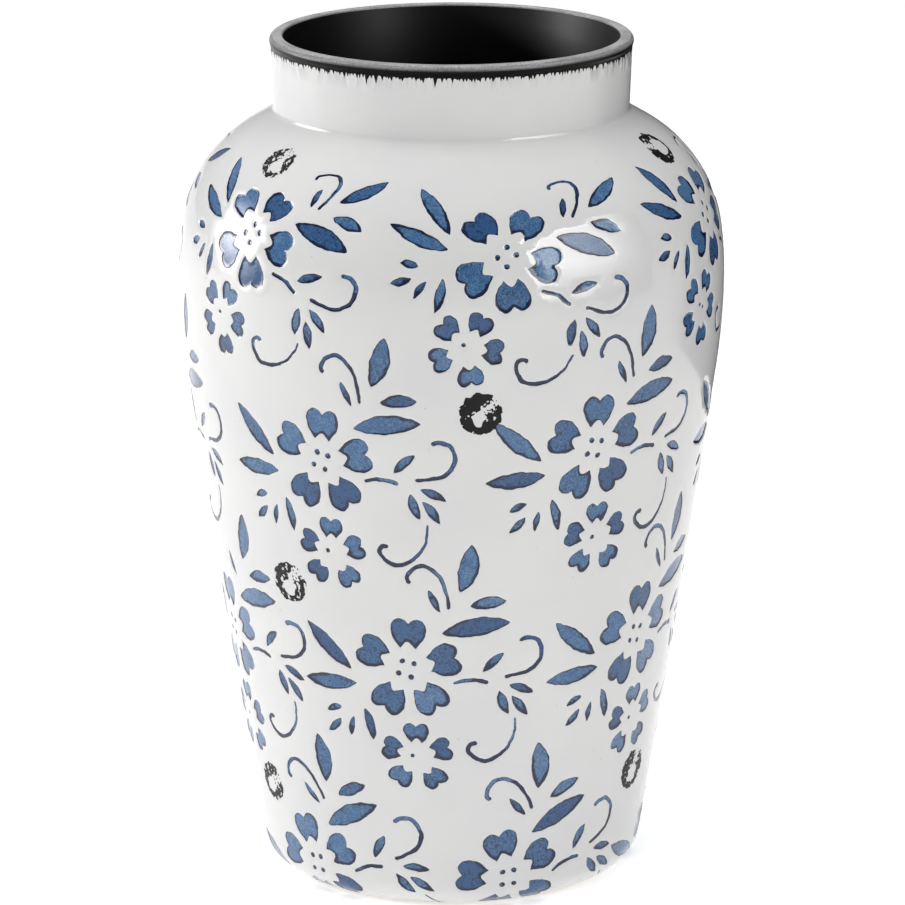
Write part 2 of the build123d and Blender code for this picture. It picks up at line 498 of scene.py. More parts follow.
def distance_to(points, loop):
    """Each point's distance to the nearest of a loop's corners."""
    return np.sqrt(((points[:, None] - loop[None]) ** 2).sum(axis=-1).min(axis=1))


def facing_in(loop):
    """At each corner of a counter-clockwise loop, the direction into it."""
    ahead = np.roll(loop, -1, axis=0) - np.roll(loop, 1, axis=0)
    ahead /= np.maximum(np.linalg.norm(ahead, axis=1, keepdims=True), 1e-9)
    return np.stack([-ahead[:, 1], ahead[:, 0]], axis=1)


HEXAGONAL = 0.866  # the spacing of a hexagonal grid's rows, as a share of its points' spacing


def filling(loop, step, clear):
    """Points of a hexagonal grid inside a loop, clear of its edge."""
    low, high = loop.min(axis=0), loop.max(axis=0)
    grid = []
    for i, y in enumerate(np.arange(low[1], high[1], step * HEXAGONAL)):
        x = np.arange(low[0] + step / 2 * (i % 2), high[0], step)
        grid.append(np.stack([x, np.full_like(x, y)], axis=1))
    grid = np.vstack(grid)
    kept = inside_of(grid, loop)
    kept[kept] = distance_to(grid[kept], loop) > clear
    return grid[kept]


# What is kept on a point of the wall besides its place: its depth, its normal's lean, how near it is to a
# shape's edge and how much blue pools there, from 0 to 1, and its shape's number.
PLAIN = {"depth": 0.0, "right": 0.0, "up": 0.0, "edge": 0.0, "pool": 0.0, "shape": -1.0}


class Sheet:
    """Gathers the wall's points and the loops that its mesh must follow."""

    def __init__(self):
        self.columns = {name: [] for name in ("theta", "s", *PLAIN)}
        self.loops = []  # each loop's point numbers
        self.kinds = []  # what each loop bounds: brink, blue, floor or white
        self.count = 0

    def add(self, theta, s, **values):
        """Adds points and returns their numbers."""
        size = len(theta)
        given = {**PLAIN, "theta": theta, "s": s, **values}
        for name, column in self.columns.items():
            column.append(np.broadcast_to(np.asarray(given[name], float), (size,)))
        self.count += size
        return np.arange(self.count - size, self.count)

    def loop(self, numbers, kind):
        self.loops.append(numbers.tolist())
        self.kinds.append(kind)

    def column(self, name):
        return np.concatenate(self.columns[name])


LOWEST_CUT = 1.2  # the motifs stop this far above the lower edge of the white glaze
CUT_STEP = 0.3  # a cut shape's inner loops stop this much higher each
LEAST_HEIGHT = 2.0  # a shape that rises less than this above the cut is left out
SHAPE_GAP = 0.5  # and so is one that would come nearer than this to another
NEIGHBOURS = 60.0  # only shapes within this distance are looked at for that
FILL_STEP = 1.1  # spacing of the points inside a shape
FILL_CLEARANCE = 0.45  # they keep this far from its floor's outline
CUT_CLEARANCE = 1.0  # and this far above the cut
EDGE_FADE = 0.9  # the dark edge of the blue, partly pooled glaze and partly painted shade, fades inwards over this distance

# A recessed shape's loops, from its brink to its floor: the share of the full depth, how steeply the normal
# leans inwards, how dark the edge is, partly as painted shade of the bank, and what the loop bounds.
RINGS = ((0, 0.1, 1, "brink"), (0.62, 0.42, 1, "blue"), (1, 0.16, 0.55, "floor"))


class Shapes:
    """The recessed shapes laid so far, so that none touches another."""

    def __init__(self):
        self.places = np.empty((0, 3))
        self.outlines = []  # (theta, s) of each shape's brink
        self.turns = []  # each shape's middle angle

    def free(self, theta, s):
        """Whether an outline keeps clear of every shape so far."""
        if not len(self.places):
            return True
        spots = stood(OUTSIDE, theta, s)[0]
        near = self.places[np.linalg.norm(self.places - spots.mean(axis=0), axis=1) < NEIGHBOURS]
        return not len(near) or gap_between(spots, near) > SHAPE_GAP


def gap_between(points, others):
    """The least distance between two sets of points in space."""
    return np.sqrt(((points[:, None] - others[None]) ** 2).sum(axis=-1).min())


def lay_shape(sheet, shapes, outline, bank, place, droop, run_way):
    """Adds one recessed shape's points and loops, if it is on the wall and touches no other shape.

    run_way is the angle, in radians, in which its glaze ran and pooled."""
    shift = wavering()
    loops = [shift(outline(grow)) for grow in (BRINK, 0.0, -bank)]
    spots = [placed(loop, *place, droop) for loop in loops]
    if spots[0][1].max() < LOWEST_CUT + LEAST_HEIGHT:
        return
    spots = [(theta, np.maximum(s, LOWEST_CUT + CUT_STEP * i)) for i, (theta, s) in enumerate(spots)]
    if not shapes.free(*spots[0]):
        return
    number = len(shapes.outlines)
    pool_way = np.array([cos(run_way), sin(run_way)])
    middle = loops[1].mean(axis=0)
    size = np.abs(loops[1] - middle).max()

    def pooling(points):
        """How far along the way the glaze ran, from 0 to 1."""
        return (points - middle) / size @ pool_way * 0.5 + 0.5

    for loop, (theta, s), (share, steep, edge, kind) in zip(loops, spots, RINGS):
        right, up = (turned(facing_in(loop), place[2]) * steep).T
        values = {"right": right, "up": up, "edge": edge, "pool": pooling(loop), "shape": number}
        sheet.loop(sheet.add(theta, s, depth=share * RECESS, **values), kind)
    inner = filling(loops[-1], FILL_STEP, FILL_CLEARANCE)
    if len(inner):
        theta, s = placed(inner, *place, droop)
        kept = s > LOWEST_CUT + CUT_CLEARANCE
        inner, theta, s = inner[kept], theta[kept], s[kept]
        fade = np.exp(-distance_to(inner, loops[1]) / EDGE_FADE)
        sheet.add(theta, s, depth=RECESS, edge=fade, pool=pooling(inner), shape=number)
    shapes.outlines.append(np.stack(spots[0], axis=1))
    shapes.turns.append(radians(place[0]))
    shapes.places = np.vstack([shapes.places, stood(OUTSIDE, *spots[0])[0]])


RUN_SPREAD = 0.9  # how far, in radians, the glaze's run strays from straight down


def lay_motifs(sheet):
    """Lays every motif on the wall."""
    shapes = Shapes()
    for places, droop in ((TOP_ROW, TOP_ROW_DROOP), (ROWS, 0.0)):
        for place in places:
            for outline, bank in motif():
                lay_shape(sheet, shapes, outline, bank, place, droop, rng.normal(-pi / 2, RUN_SPREAD))
    return shapes


# ---- The ragged lower edge of the black lip glaze ----

EDGE_POINTS = 2400  # round the ragged edge
EDGE_RISE = 0.2  # the black glaze reaches its full thickness this far above its edge
BLACK_THICKNESS = 0.05
EDGE_STEEPNESS = 0.3  # how far the normals lean at the edge


def ragged_edge(theta):
    """How far below the neck's top the black glaze ends: sharp tongues between jagged shallow bays.

    Each size of tongue has a range of spacings, a way to draw its length, and a range of half widths."""
    drop = 0.95 + 0.2 * np.sin(23 * theta + 1) * np.sin(41 * theta)
    small = ((0.7, 2.2), lambda: rng.uniform(1.2, 2.8), (0.6, 1.0))
    large = ((2.0, 5.5), long_reach, (0.7, 1.1))
    for spacing, reach, half_width in (small, large):
        at = 0.0
        while at < tau:
            at += rng.uniform(*spacing) / NECK_TOP_R
            drop = np.maximum(drop, tongue(theta, at, reach(), rng.uniform(*half_width)))
    return drop + 0.05 * np.sin(233 * theta)


def long_reach():
    """A random length for a large tongue."""
    return rng.choice((1.8, 2.4, 3.2, 4.2), p=(0.34, 0.34, 0.22, 0.1)) * rng.uniform(0.85, 1.15)


def tongue(theta, at, length, half_width):
    """How far down one tongue reaches: a point below a broad root."""
    off = (theta - at + pi) % tau - pi
    slant = rng.normal(0, 0.2) * np.sign(off)
    near = np.clip(1 - np.abs(off) * NECK_TOP_R / half_width * (1 + slant), 0, 1)
    return length * near


# ---- Meshing the outside ----


def rows_of_points():
    """(s, number of points, offset in steps) of the plain wall's rows. They lie closer together where the
    wall curves, at its foot and at the neck's root."""
    corner_end = OUTSIDE.s[np.searchsorted(OUTSIDE.angle[: OUTSIDE.angle.size // 3], -15.0)]
    rows = [(s, AROUND, 0.0) for s in np.linspace(0, corner_end, 12)]
    body = np.arange(corner_end + 0.8 * GRID, NECK_ROOT_S - 5, 0.87 * GRID)
    for i, s in enumerate(body):
        rows.append((s, round(tau * OUTSIDE.radius(s) / GRID), 0.5 * (i % 2)))
    rows += [(s, AROUND, 0.0) for s in np.linspace(NECK_ROOT_S - 3.0, NECK_ROOT_S + 0.4, 10)]
    rows += [(s, AROUND, 0.0) for s in np.arange(NECK_ROOT_S + 3.0, NECK_TOP_S - 6.5, 3.0)]
    return rows


def clear_of_shapes(theta, s, shapes):
    """Which places keep clear of every recessed shape."""
    clear = np.ones(len(theta), bool)
    for outline in shapes.outlines:
        middle = outline[0, 0]
        radius = OUTSIDE.radius(outline[:, 1].mean())
        loop = np.stack([(outline[:, 0] - middle) * radius, outline[:, 1]], axis=1)
        x = ((theta - middle + pi) % tau - pi) * radius
        low, high = loop.min(axis=0) - 2, loop.max(axis=0) + 2
        near = np.flatnonzero((x > low[0]) & (x < high[0]) & (s > low[1]) & (s < high[1]))
        if not len(near):
            continue
        points = np.stack([x[near], s[near]], axis=1)
        clear[near] &= ~inside_of(points, loop) & (distance_to(points, loop) > GRID_CLEARANCE)
    return clear


def lay_plain_wall(sheet, shapes):
    """Adds the plain wall's rows, the ring at its foot, and the rings of the black glaze's edge."""
    for s, count, offset in rows_of_points():
        theta = tau * (np.arange(count) + offset) / count
        heights = np.full(count, s)
        kept = clear_of_shapes(theta, heights, shapes)
        sheet.add(theta[kept], heights[kept])
    theta = tau * np.arange(EDGE_POINTS) / EDGE_POINTS
    drop = ragged_edge(theta)
    slope = np.gradient(drop, theta) / NECK_TOP_R
    steep = EDGE_STEEPNESS / np.sqrt(1 + slope**2)
    edge = sheet.add(theta, NECK_TOP_S - drop, right=-steep * slope, up=-steep)
    sheet.loop(edge[::-1], "white")
    raised = np.maximum(drop - EDGE_RISE, 0.05)
    sheet.add(theta, NECK_TOP_S - raised, depth=-BLACK_THICKNESS, up=-0.1)
    theta = tau * np.arange(AROUND) / AROUND
    sheet.add(theta, np.full(AROUND, TUCK_S))


def mesh_outside(sheet):
    """Meshes the wall's points. Gives the points' columns, the triangles, and what each one belongs to."""
    theta, s = sheet.column("theta"), sheet.column("s")
    plane = OUTSIDE.flat(theta, s)
    result = delaunay_2d_cdt([tuple(p) for p in plane], [], sheet.loops, 0, 1e-7, True)
    places, _, faces, from_points, _, from_loops = result
    plane = np.array([tuple(p) for p in places])
    first = np.array([origin[0] if origin else -1 for origin in from_points])
    found_theta, found_s = OUTSIDE.unflat(plane)
    columns = {name: sheet.column(name)[first] for name in sheet.columns}
    new = first < 0  # points where loops crossed
    for name, value in PLAIN.items():
        columns[name][new] = value
    columns["theta"][new], columns["s"][new] = found_theta[new], found_s[new]
    faces = np.array([list(face) for face in faces])
    kept = ~(columns["s"][faces] < TINY).all(axis=1)  # without the hole under the foot
    kinds = np.full(len(faces), "lip", dtype="<U5")
    for i, loops in enumerate(from_loops):
        held = {sheet.kinds[n] for n in loops}
        kinds[i] = "blue" if "blue" in held else "white" if "white" in held else "lip"
    return columns, faces[kept], kinds[kept]


# ---- Making Blender objects ----


UV_SPAN = 2.02  # the texture's square, against the flattened ring's radius
WALL_HOLE = 0.18  # the hole in the flattened ring, as a share of its radius
LIP_HOLE = 0.55


def disc_uv(theta, s, hole, outer):
    """A flattened ring with a hole: s runs outwards over it, up to its outer value."""
    share = (hole + (1 - hole) * s / outer) / UV_SPAN
    return np.stack([0.5 + share * np.sin(theta), 0.5 + share * np.cos(theta)], axis=-1)


def make_piece(name, places, faces, normals, uv, material, marks=()):
    """A smooth mesh piece from places in millimetres. marks are (name, values) kept on its points."""
    mesh = bpy.data.meshes.new(name)
    mesh.from_pydata((places * MM).tolist(), [], [list(map(int, face)) for face in faces])
    mesh.shade_smooth()
    layer = mesh.uv_layers.new(name="OFBake")
    corners = np.empty(len(mesh.loops), np.int32)
    mesh.loops.foreach_get("vertex_index", corners)
    layer.data.foreach_set("uv", uv[corners].astype(np.float32).ravel())
    for mark, values in marks:
        attribute = mesh.attributes.new(mark, "FLOAT", "POINT")
        attribute.data.foreach_set("value", values.astype(np.float32))
    mesh.normals_split_custom_set_from_vertices(normals.tolist())
    piece = bpy.data.objects.new(name, mesh)
    bpy.context.scene.collection.objects.link(piece)
    mesh.materials.append(material)
    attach(piece, BODY)
    return piece


def used_only(faces, *columns):
    """Renumbers faces to the points they use, and keeps those points' rows of each column."""
    used, renumbered = np.unique(faces, return_inverse=True)
    return renumbered.reshape(faces.shape), *(column[used] for column in columns)


def ring_points(s):
    """(theta, s) of points in rows that each go once round, row by row."""
    return np.tile(tau * np.arange(AROUND) / AROUND, len(s)), np.repeat(s, AROUND)


def ring_faces(rows):
    """Quads between rows of points that each go once round."""
    low = np.arange(AROUND) + AROUND * np.arange(rows - 1)[:, None]
    following = np.roll(low, -1, axis=1)
    return np.stack([low, following, following + AROUND, low + AROUND], axis=2).reshape(-1, 4)


# ---- Materials ----


USUAL_NOISE = (0.3, 0.7)  # most of a noise's values lie between these


class Shader:
    """A new material, and short ways to add nodes to it."""

    def __init__(self, name, **settings):
        self.material = bpy.data.materials.new(name)
        self.material.use_nodes = True
        self.tree = self.material.node_tree
        self.surface = self.tree.nodes["Principled BSDF"]
        for socket, value in settings.items():
            self.surface.inputs[socket.replace("_", " ")].default_value = value
        self.place = self.add("ShaderNodeTexCoord").outputs["Object"]

    def add(self, kind, inputs=None, **settings):
        node = self.tree.nodes.new(kind)
        for name, value in settings.items():
            setattr(node, name, value)
        for name, value in (inputs or {}).items():
            if isinstance(value, bpy.types.NodeSocket):
                self.tree.links.new(value, node.inputs[name])
            else:
                node.inputs[name].default_value = value
        return node

    def noise(self, scale, detail=2.0, stretch=(1, 1, 1), roughness=0.5):
        """A noise about 1 / scale metres across, from 0 to 1 and around a half."""
        where = self.add("ShaderNodeVectorMath", {0: self.place, 1: stretch}, operation="MULTIPLY")
        inputs = {"Vector": where.outputs[0], "Scale": scale, "Detail": detail, "Roughness": roughness}
        return self.add("ShaderNodeTexNoise", inputs).outputs[0]

    def math(self, operation, a, b=0.0, c=0.0):
        return self.add("ShaderNodeMath", {0: a, 1: b, 2: c}, operation=operation).outputs[0]

    def product(self, a, b):
        return self.math("MULTIPLY", a, b)

    def remap(self, value, low, high, to_low=0.0, to_high=1.0):
        """A value carried smoothly from one range to another, and held at its ends."""
        inputs = {"Value": value, "From Min": low, "From Max": high, "To Min": to_low, "To Max": to_high}
        return self.add("ShaderNodeMapRange", inputs, interpolation_type="SMOOTHSTEP").outputs[0]

    def spread(self, noise, to_low=0.0, to_high=1.0):
        """A noise, which seldom leaves the middle of its range, spread over a whole range."""
        return self.remap(noise, *USUAL_NOISE, to_low, to_high)

    def mix(self, share, a, b):
        """Between two colours."""
        node = self.add("ShaderNodeMix", {"Factor": share}, data_type="RGBA")
        for socket, value in ((node.inputs[6], a), (node.inputs[7], b)):
            if isinstance(value, bpy.types.NodeSocket):
                self.tree.links.new(value, socket)
            else:
                socket.default_value = (*value, 1)
        return node.outputs[2]

    def mark(self, name):
        """A value kept on the mesh's points."""
        return self.add("ShaderNodeAttribute", attribute_name=name).outputs["Fac"]

    def height(self):
        """Height above the resting plane, in metres."""
        return self.add("ShaderNodeSeparateXYZ", {0: self.place}).outputs[2]

    def set(self, socket, value):
        self.tree.links.new(value, self.surface.inputs[socket])

    def bump(self, *layers):
        """Adds surface relief from (height, distance in metres) layers."""
        normal = None
        for value, distance in layers:
            inputs = {"Height": value, "Distance": distance, "Strength": 1.0}
            if normal:
                inputs["Normal"] = normal
            normal = self.add("ShaderNodeBump", inputs).outputs[0]
        self.set("Normal", normal)


WASH = (0.2905, 0.2962)  # heights, in metres, between which the grey wash under the lip thickens


def white_glaze():
    """Glossy opaque white, faintly warm in places, with a thin grey wash brushed down under the lip."""
    shader = Shader("white_glaze", IOR=1.5)
    clouds = shader.noise(22, 3)
    white = shader.mix(shader.spread(clouds), (0.67, 0.67, 0.66), (0.63, 0.632, 0.63))
    pits = shader.add("ShaderNodeTexVoronoi", {"Vector": shader.place, "Scale": 150.0})
    rare = shader.math("GREATER_THAN", shader.noise(90, 0), 0.62)
    pit = shader.product(shader.remap(pits.outputs["Distance"], 0.09, 0.05), rare)
    white = shader.mix(shader.product(pit, 0.3), white, (0.42, 0.38, 0.33))
    streaks = shader.remap(shader.noise(1100, 3, (1, 1, 0.05), 0.6), 0.42, 0.66)
    fade = shader.remap(shader.height(), *WASH)
    wash = shader.product(shader.product(streaks, fade), 0.26)
    shader.set("Base Color", shader.mix(wash, white, (0.22, 0.21, 0.21)))
    shader.set("Roughness", shader.spread(shader.noise(60, 2), 0.06, 0.11))
    shader.bump((shader.noise(48, 1), 0.00006), (shader.noise(420, 2), 0.000006))
    return shader.material


def blue_glaze():
    """Cobalt blue pooled in the recesses, mottled and flecked, and dark along each recess's edge: partly
    pooled glaze and partly painted shade on the recess's bank.
    """
    shader = Shader("blue_glaze", IOR=1.5)
    edge, pool, tone = shader.mark("edge"), shader.mark("pool"), shader.mark("tone")
    cloud = shader.noise(330, 3, roughness=0.6)
    grain = shader.noise(1900, 2, roughness=0.6)
    fleck = shader.noise(1300, 3, roughness=0.7)
    body = shader.mix(shader.remap(cloud, 0.32, 0.68), (0.048, 0.132, 0.285), (0.088, 0.2, 0.36))
    body = shader.mix(shader.remap(tone, 0.5, 1.0, 0.0, 0.85), body, (0.016, 0.068, 0.195))
    body = shader.mix(shader.remap(tone, 0.35, 0.0, 0.0, 0.75), body, (0.12, 0.21, 0.365))
    body = shader.mix(shader.remap(grain, 0.42, 0.6, 0.0, 0.7), body, (0.016, 0.06, 0.16))
    flecked = shader.product(shader.remap(tone, 0.3, 0.6), shader.remap(cloud, 0.38, 0.55))
    flecks = shader.product(shader.remap(fleck, 0.5, 0.56), flecked)
    body = shader.mix(shader.product(flecks, 0.85), body, (0.006, 0.02, 0.065))
    away = shader.math("ABSOLUTE", shader.math("SUBTRACT", shader.noise(120, 2, roughness=0.6), 0.5))
    vein = shader.product(shader.remap(away, 0.016, 0.004), shader.remap(edge, 0.05, 0.3))
    body = shader.mix(shader.product(vein, 0.7), body, (0.006, 0.022, 0.075))
    # Darker along each recess's edge and on the side its glaze ran to: partly pooled glaze, partly painted
    # shade on the recess's bank.
    pooled_and_shaded = shader.math("MULTIPLY_ADD", shader.remap(pool, 0.1, 0.75), 0.42, edge)
    pooled_and_shaded = shader.math("MULTIPLY_ADD", shader.noise(260, 2), 0.8, pooled_and_shaded)
    dark = shader.remap(pooled_and_shaded, 1.06, 1.26)
    shader.set("Base Color", shader.mix(dark, body, (0.002, 0.009, 0.042)))
    shader.set("Roughness", shader.spread(shader.noise(200, 2), 0.08, 0.16))
    shader.bump((cloud, 0.00004), (grain, 0.00001))
    return shader.material


def worn_black():
    """Black stamped colour, rubbed through to grey in places. The grey is partly real wear and partly a
    painted highlight: it grows with each stamp's wear value, which is set higher on the brightly lit left
    side.
    """
    shader = Shader("worn_black", IOR=1.28)
    tone_of_wear_and_highlight = shader.mark("tone")
    grain = shader.noise(900, 3, roughness=0.7)
    # Grey patches: partly real wear and partly a painted highlight, growing with the stamp's wear value.
    grey_patches = shader.remap(shader.math("ADD", grain, shader.product(tone_of_wear_and_highlight, 0.3)), 0.56, 0.85)
    shader.set("Base Color", shader.mix(grey_patches, (0.005, 0.0048, 0.0055), (0.05, 0.049, 0.051)))
    shader.set("Roughness", shader.spread(grain, 0.35, 0.6))
    shader.bump((grain, 0.00003))
    return shader.material


SHEEN_ROLL = (0.2978, 0.2992)  # heights, in metres, over which the lip's roll turns from black to a painted charcoal sheen
SHEEN_TOP = (0.2994, 0.29998)  # and over which its flat top is painted lighter still, a painted reflection of the bright surroundings


def black_lip_glaze():
    """Satin black, with a painted sheen round the lip: charcoal grey on its roll and lighter grey on its flat
    top, in uneven streaks, standing in for reflections of the surroundings.
    """
    shader = Shader("black_lip_glaze", IOR=1.38)
    around = shader.noise(60, 3, (1, 1, 30), 0.6)
    grain = shader.noise(1600, 3, roughness=0.7)
    # Painted sheen and painted reflection: the roll and, lighter still, the flat top are painted grey by
    # height, in uneven streaks.
    grey_patches = shader.product(shader.remap(grain, 0.3, 0.6, 0.5, 1.0), shader.spread(around, 0.7, 1.0))
    roll = shader.product(shader.remap(shader.height(), *SHEEN_ROLL), grey_patches)
    top = shader.product(shader.remap(shader.height(), *SHEEN_TOP), grey_patches)
    painted_sheen_grey = shader.mix(top, (0.32, 0.315, 0.325), (0.6, 0.595, 0.6))
    shader.set("Base Color", shader.mix(roll, (0.003, 0.0028, 0.003), painted_sheen_grey))
    shader.set("Specular IOR Level", shader.remap(shader.height(), *SHEEN_ROLL, 0.12, 0.5))
    shader.set("Roughness", shader.spread(around, 0.26, 0.38))
    shader.bump((around, 0.00004), (grain, 0.00002))
    return shader.material


def black_lining():
    """Satin brown-black glaze inside, uneven where it ran down."""
    shader = Shader("black_lining", IOR=1.36, Roughness=0.35)
    runs = shader.noise(30, 1, (1, 1, 0.3))
    colour = shader.mix(shader.spread(runs), (0.0012, 0.001, 0.001), (0.003, 0.0025, 0.0025))
    shader.set("Base Color", colour)
    shader.bump((runs, 0.00008))
    return shader.material


def bare_clay():
    """Unglazed buff stoneware with iron specks and fine turning lines."""
    shader = Shader("bare_clay", IOR=1.45)
    body = shader.mix(shader.spread(shader.noise(60, 4)), (0.52, 0.44, 0.35), (0.44, 0.36, 0.28))
    specks = shader.remap(shader.noise(1100, 2, roughness=0.6), 0.66, 0.72)
    shader.set("Base Color", shader.mix(specks, body, (0.16, 0.10, 0.07)))
    shader.set("Roughness", shader.spread(shader.noise(300, 3), 0.78, 0.95))
    shader.bump((shader.noise(900, 4, roughness=0.7), 0.0001), (shader.noise(250, 3), 0.0001))
    return shader.material


# ---- The pieces ----

SECTORS = 6  # the blue shapes are split by angle into this many pieces
SECTOR_SPAN = 2.4  # a texture's width, in radians: its sector, and room for motifs that reach out of it


def outside_places(columns):
    """Positions and normals of the outside's points, with the wall's unevenness."""
    depth, right, up = wall_unevenness(columns["theta"], columns["s"])
    lean = (columns["right"] + right, columns["up"] + up)
    return stood(OUTSIDE, columns["theta"], columns["s"], columns["depth"] + depth, lean)


# (depth, lean of the normals down the wall) of the rings of the white glaze's round lower edge
ROUND_EDGE = ((0.16, -1.2), (GLAZE, -4.0))


def make_white_wall(columns, faces, places, normals, material):
    """The white glaze with its recesses' banks, and the round edge where it ends under the foot."""
    theta, s = columns["theta"], columns["s"]
    faces, places, normals, theta, s = used_only(faces, places, normals, theta, s)
    foot = np.flatnonzero(s < TINY)
    foot = foot[np.argsort(theta[foot] % tau)]
    count = len(foot)
    numbers = np.concatenate([foot, len(places) + np.arange(2 * count)]).reshape(3, count)
    all_faces = faces.tolist()
    for low, high in zip(numbers[1:], numbers):
        all_faces += np.stack([low, np.roll(low, -1), np.roll(high, -1), high], axis=1).tolist()
    for depth, lean in ROUND_EDGE:
        ring, ring_normals = stood(OUTSIDE, theta[foot], s[foot], depth, (0.0, lean))
        places = np.vstack([places, ring])
        normals = np.vstack([normals, ring_normals])
    theta = np.concatenate([theta, theta[foot], theta[foot]])
    s = np.concatenate([s, np.zeros(2 * count)])
    uv = disc_uv(theta, s, WALL_HOLE, OUTSIDE.length)
    piece = make_piece("white_wall", places, all_faces, normals, uv, material)
    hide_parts("white_outer_glaze")


def make_blue_motifs(columns, faces, places, normals, shapes, material):
    """The blue floors of the recesses, one piece for each sector of the wall."""
    tones = rng.uniform(0, 1, len(shapes.outlines))
    sector_of = [int((turn % tau) / tau * SECTORS) for turn in shapes.turns]
    shape = columns["shape"].astype(int)
    owner = np.max(shape[faces], axis=1)
    kept = [columns[name] for name in ("theta", "s", "edge", "pool", "shape")]
    for sector in range(SECTORS):
        chosen = np.array([number >= 0 and sector_of[number] == sector for number in owner])
        middle = tau * (sector + 0.5) / SECTORS
        taken = used_only(faces[chosen], places, normals, *kept)
        own_faces, own_places, own_normals, theta, s, edge, pool, own_shape = taken
        across = (theta - middle + pi) % tau - pi
        uv = np.stack([0.5 + across / SECTOR_SPAN, s / OUTSIDE.length], axis=-1)
        marks = (("edge", edge), ("pool", pool), ("tone", tones[own_shape.astype(int)]))
        name = f"blue_motifs_{sector + 1}"
        make_piece(name, own_places, own_faces, own_normals, uv, material, marks)


LIP_ROWS = 42  # of points over the lip
LIP_REACH = 6.0  # no tongue of black reaches this far below the neck's top


def make_lip(columns, faces, places, normals, material):
    """The black glaze over the lip, with its ragged edge on the neck."""
    theta, s = columns["theta"], columns["s"]
    faces, places, normals, theta, s = used_only(faces, places, normals, theta, s)
    top = np.flatnonzero(s > TUCK_S - TINY)
    top = top[np.argsort(np.round(theta[top] % tau * AROUND / tau) % AROUND)]
    roll_theta, roll_s = ring_points(np.linspace(0, LIP.length, LIP_ROWS))
    roll_places, roll_normals = stood(LIP, roll_theta, roll_s)
    quads = ring_faces(LIP_ROWS) + len(places) - AROUND
    first = quads < len(places)
    quads[first] = top[quads[first] - (len(places) - AROUND)]
    all_faces = [*faces.tolist(), *quads.tolist()]
    places = np.vstack([places, roll_places[AROUND:]])
    normals = np.vstack([normals, roll_normals[AROUND:]])
    theta = np.concatenate([theta, roll_theta[AROUND:]])
    start = NECK_TOP_S - LIP_REACH
    along = np.concatenate([s - start, roll_s[AROUND:] + TUCK_S - start])
    uv = disc_uv(theta, along, LIP_HOLE, TUCK_S - start + LIP.length)
    piece = make_piece("lip_glaze", places, all_faces, normals, uv, material)
    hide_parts("black_lip_glaze")


def make_lining(material):
    """The black glaze inside, from the floor's middle up to the lip. It follows the outside's unevenness,
    and its rows lie closer together where it curves."""
    corner_s = INSIDE.s[np.flatnonzero(INSIDE.angle > -90)[0]]
    floor, corner = np.arange(12, corner_s, 8), np.arange(corner_s, corner_s + 22, 1.2)
    wall = np.arange(corner_s + 24, INSIDE.length - 36, 3.5)
    rows = np.concatenate([[0.5, 4], floor, corner, wall, np.linspace(INSIDE.length - 35, INSIDE.length, 40)])
    theta, s = ring_points(rows)
    depth, right, up = wall_unevenness(theta, np.clip(s, 60, 200))
    held = smooth(60, 90, s) * (1 - smooth(INSIDE.length - 60, INSIDE.length - 40, s))
    places, normals = stood(INSIDE, theta, s, depth * held, (right * held, up * held))
    centre = len(places)
    places = np.vstack([places, (0, 0, FLOOR_TOP)])
    normals = -np.vstack([normals, (0, 0, -1)])
    inner = np.arange(AROUND)
    fan = np.stack([np.full(AROUND, centre), (inner + 1) % AROUND, inner], axis=1)
    faces = [*ring_faces(len(rows))[:, ::-1].tolist(), *fan[:, ::-1].tolist()]
    uv = np.vstack([disc_uv(theta, s, 0.0, INSIDE.length), (0.5, 0.5)])
    piece = make_piece("lining_glaze", places, faces, normals, uv, material)
    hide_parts("black_inner_glaze")
    mouth_light("mouth_light_left", -88, 12, (0.25, 0.25), 60, piece)
    mouth_light("mouth_light_right", 50, 12, (0.3, 0.3), 9, piece)


# Worn stamps: angle, distance up the wall, size against the usual, turn in degrees, wear, and hole radius.
# The wear value also paints a stamp lighter grey, so it is higher on the lit left side as a painted
# highlight.
STAMPS = (
    (6, 192, 1.0, 0, 0.0, 2.4),
    (-50, 275, 0.9, 35, 0.55, 3.4),
    (69, 276, 1.0, 115, 0.12, 4.0),
    (-41, 124, 1.0, 10, 0.45, 3.0),
    (-61, 41, 0.95, -15, 0.45, 3.0),
    (61, 46, 1.0, 25, 0.3, 3.2),
    (122, 214, 1.0, 40, 0.2, 2.8),
    (-122, 128, 0.95, 80, 0.4, 3.2),
    (160, 136, 1.0, -30, 0.5, 2.6),
    (-166, 216, 0.9, 10, 0.3, 3.0),
    (-140, 274, 0.9, 30, 0.5, 3.6),
    (172, 56, 0.95, 100, 0.45, 2.8),
)
STAMP_R = 7.6
STAMP_MARGIN = 0.6  # the stamp's mesh is cut from a grid this much wider each way
STAMP_STEP = 0.24  # spacing of that grid
STAMP_HEIGHT = 0.05
STAMP_HOLE = (-0.8, -2.0)  # the middle of the ring's hole
STAMP_GAP = ((-0.4, -0.5), (5.4, 4.6))  # the ring's opening runs between these
STAMPS_ACROSS = 4  # on the texture's square
STAMP_CELL = 2.2 * STAMP_R  # a stamp's own square there


def ripples(waves, shortest, longest):
    """A smooth random pattern about 0, with features between two sizes."""
    parts = []
    for _ in range(waves):
        heading, length = rng.uniform(0, tau), np.exp(rng.uniform(np.log(shortest), np.log(longest)))
        parts.append((cos(heading) * tau / length, sin(heading) * tau / length, rng.uniform(0, tau)))
    scale = sqrt(2 / waves)
    return lambda x, y: scale * sum(np.cos(a * x + b * y + c) for a, b, c in parts)


